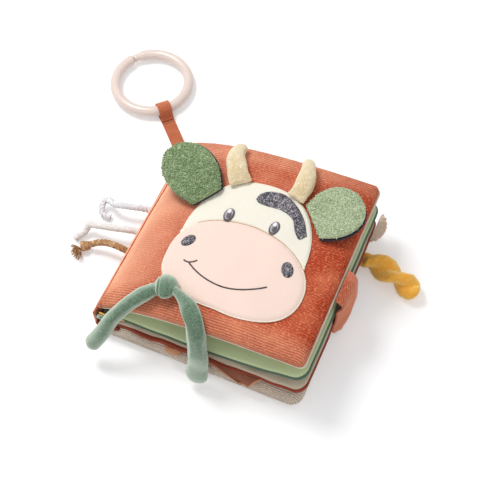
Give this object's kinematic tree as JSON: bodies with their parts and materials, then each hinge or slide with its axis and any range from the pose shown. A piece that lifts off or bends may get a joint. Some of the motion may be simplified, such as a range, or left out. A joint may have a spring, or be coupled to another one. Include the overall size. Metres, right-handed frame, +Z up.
{
  "type": "crinkle cloth book",
  "caption": "Soft baby book with a padded arched cover, sewn-on animal face, stuffed ears and horns, crackling leaves, spine cords, strap, tail, and a ribbon with a plastic ring.",
  "frame": {"origin": "On the floor below the middle of the closed book, in the outer face of its back cover.", "axes": "+X from the bound edge to the fore-edge, +Y towards the top edge of the face, +Z up out of the front cover."},
  "size_m": [0.2848, 0.2613, 0.0665],
  "materials": {
    "terracotta_corduroy": "fine-wale, matte",
    "beige_corduroy": "fine-wale, matte",
    "cream_cloth": "matte",
    "sage_velour": "short pile, soft",
    "pink_cloth": "matte, satin edge",
    "charcoal_velour": "short pile, soft",
    "green_teddy": "long curled pile",
    "grey_thread": "satin stitch",
    "horn_cloth": "matte",
    "pale_green_cloth": "printed, matte",
    "dark_sage_cloth": "matte",
    "beige_cloth": "matte",
    "red_cloth": "matte",
    "wadding": "soft filling",
    "crackle_film": "thin film",
    "terracotta_ribbon": "grosgrain, matte",
    "ivory_velour": "short pile, matte",
    "blush_plastic": "smooth, glossy",
    "white_cord": "twisted",
    "off_white_cord": "twisted",
    "brown_cord": "twisted",
    "tan_cloth": "matte",
    "peach_cloth": "ruffled, matte",
    "yellow_cloth": "matte"
  },
  "bodies": {
    "book_back": {"back_cover_cloth": "beige_corduroy", "back_cover_lining": "beige_cloth", "back_cover_wadding": "wadding", "spine_wrap": "terracotta_corduroy", "strap_loop_patch": "cream_cloth", "cord_white": "white_cord", "cord_cream": "off_white_cord", "cord_brown": "brown_cord", "knot_brown": "brown_cord", "tuft_brown": "brown_cord", "ribbon_root": "terracotta_ribbon"},
    "front_cover": {"front_cover_cloth": "terracotta_corduroy", "front_cover_lining": "cream_cloth", "front_cover_wadding": "wadding", "front_cover_foil": "crackle_film", "face_forehead": "ivory_velour", "face_muzzle": "pink_cloth", "face_patch": "charcoal_velour", "eye_left": "grey_thread", "eye_right": "grey_thread", "nostril_left": "grey_thread", "nostril_right": "grey_thread", "smile": "grey_thread", "grass_knot": "sage_velour"},
    "grass_blade_left": {"grass_blade_left": "sage_velour"},
    "grass_blade_right": {"grass_blade_right": "sage_velour"},
    "left_ear": {"left_ear_front": "green_teddy", "left_ear_back": "charcoal_velour"},
    "right_ear": {"right_ear_front": "green_teddy", "right_ear_back": "charcoal_velour"},
    "left_horn": {"left_horn": "horn_cloth"},
    "right_horn": {"right_horn": "horn_cloth"},
    "closure_strap": {"closure_strap": "terracotta_corduroy", "strap_hook_patch": "cream_cloth"},
    "leaf_1": {"leaf_1_upper": "pale_green_cloth", "leaf_1_wadding": "wadding", "leaf_1_foil": "crackle_film", "leaf_1_lower": "dark_sage_cloth"},
    "leaf_2": {"leaf_2_upper": "beige_cloth", "leaf_2_wadding": "wadding", "leaf_2_foil": "crackle_film", "leaf_2_lower": "red_cloth", "page_tag_loop": "tan_cloth", "page_tag_fold": "tan_cloth", "peach_ruffle": "peach_cloth"},
    "yellow_tail": {"yellow_tail": "yellow_cloth"},
    "hang_ribbon": {"hang_ribbon": "terracotta_ribbon"},
    "ribbon_loop": {"ribbon_loop": "terracotta_ribbon"},
    "hang_ring": {"hang_ring": "blush_plastic"}
  },
  "joints": [
    {"name": "cover_hinge", "type": "hinge", "parent": "book_back", "child": "front_cover", "pos_m": [-0.07289, 0, 0.02159], "axis": [0, -1, 0], "range_deg": [0, 140]},
    {"name": "leaf_1_hinge", "type": "hinge", "parent": "book_back", "child": "leaf_1", "pos_m": [-0.06717, 0, 0.01658], "axis": [0, -1, 0], "range_deg": [0, 84]},
    {"name": "leaf_2_hinge", "type": "hinge", "parent": "book_back", "child": "leaf_2", "pos_m": [-0.06714, 0, 0.01107], "axis": [0, -1, 0], "range_deg": [0, 35]},
    {"name": "left_blade_fold", "type": "hinge", "parent": "front_cover", "child": "grass_blade_left", "pos_m": [-0.0364, -0.06205, 0.05242], "axis": [0.72, -0.6939, 0], "range_deg": [-80, 0]},
    {"name": "right_blade_fold", "type": "hinge", "parent": "front_cover", "child": "grass_blade_right", "pos_m": [-0.01743, -0.05756, 0.0567], "axis": [0.6116, 0.7911, 0], "range_deg": [-80, 0]},
    {"name": "left_ear_fold", "type": "hinge", "parent": "front_cover", "child": "left_ear", "pos_m": [-0.03191, 0.02029, 0.04856], "axis": [-0.5981, -0.7888, -0.1418], "range_deg": [-60, 12]},
    {"name": "right_ear_fold", "type": "hinge", "parent": "front_cover", "child": "right_ear", "pos_m": [0.04352, 0.02351, 0.05534], "axis": [-0.6431, 0.7654, -0.0256], "range_deg": [-50, 3]},
    {"name": "left_horn_fold", "type": "hinge", "parent": "front_cover", "child": "left_horn", "pos_m": [-0.01569, 0.03475, 0.05633], "axis": [-0.8653, -0.5013, 0], "range_deg": [-60, 0]},
    {"name": "right_horn_fold", "type": "hinge", "parent": "front_cover", "child": "right_horn", "pos_m": [0.02484, 0.03679, 0.06076], "axis": [-0.9768, 0.2142, 0], "range_deg": [-60, 0]},
    {"name": "strap_fold", "type": "hinge", "parent": "front_cover", "child": "closure_strap", "pos_m": [0.07592, -0.00803, 0.0485], "axis": [0, -1, 0], "range_deg": [0, 100]},
    {"name": "tail_fold", "type": "hinge", "parent": "book_back", "child": "yellow_tail", "pos_m": [0.0796, 0.03971, 0.00953], "axis": [0, -1, 0], "range_deg": [0, 60]},
    {"name": "ribbon_fold", "type": "hinge", "parent": "book_back", "child": "hang_ribbon", "pos_m": [-0.08239, 0.07818, 0.0022], "axis": [-0.7141, -0.7001, 0], "range_deg": [-30, 0]},
    {"name": "loop_fold", "type": "hinge", "parent": "hang_ribbon", "child": "ribbon_loop", "pos_m": [-0.10416, 0.10039, 0.0022], "axis": [0.7141, 0.7001, 0], "range_deg": [-30, 30]},
    {"name": "ring_spin", "type": "hinge", "parent": "ribbon_loop", "child": "hang_ring", "pos_m": [-0.13091, 0.12768, 0.0061], "axis": [0, 0, 1], "continuous": true}
  ],
  "couplings": [
    {"joint": "leaf_1_hinge", "follows": "cover_hinge", "ratio": 0.6},
    {"joint": "leaf_2_hinge", "follows": "cover_hinge", "ratio": 0.25}
  ]
}
